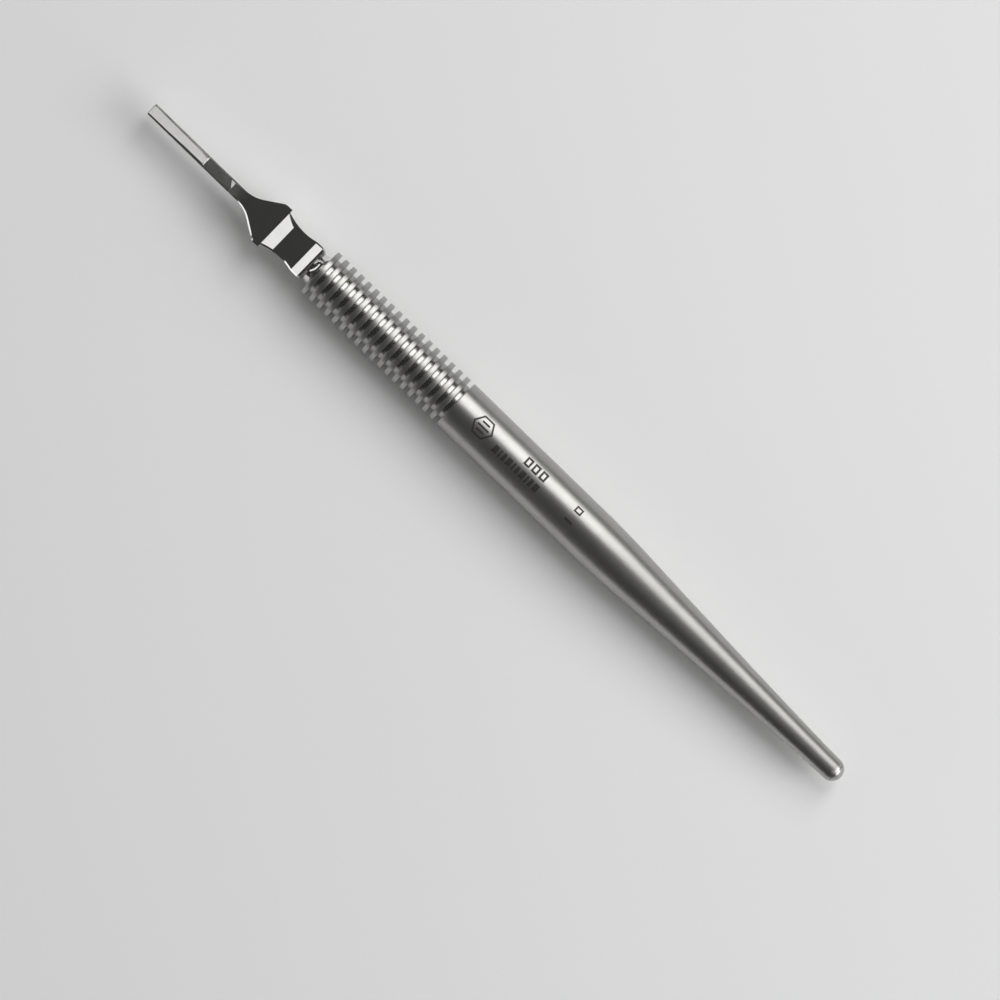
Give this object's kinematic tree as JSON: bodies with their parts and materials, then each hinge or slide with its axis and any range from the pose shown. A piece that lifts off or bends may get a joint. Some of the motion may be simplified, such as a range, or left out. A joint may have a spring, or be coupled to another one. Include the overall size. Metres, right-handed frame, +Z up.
{
  "type": "scalpel handle",
  "caption": "Round steel scalpel handle: polished nose with a slotted blade tongue, satin grip with turned finger grooves, smooth barrel, long taper and domed tail.",
  "frame": {"origin": "on the surface that the handle lies on, under the middle of its length", "axes": "+X along the handle to the blade tip, +Z up out of the tongue's slotted cap side, +Y to the left"},
  "size_m": [0.15, 0.0086, 0.0086],
  "materials": {
    "polished_steel": "polished",
    "satin_steel": "satin"
  },
  "bodies": {
    "root": {"blade_holder": "polished_steel", "front_collar": "polished_steel", "handle_body": "satin_steel", "tail_plug": "satin_steel"}
  },
  "joints": []
}
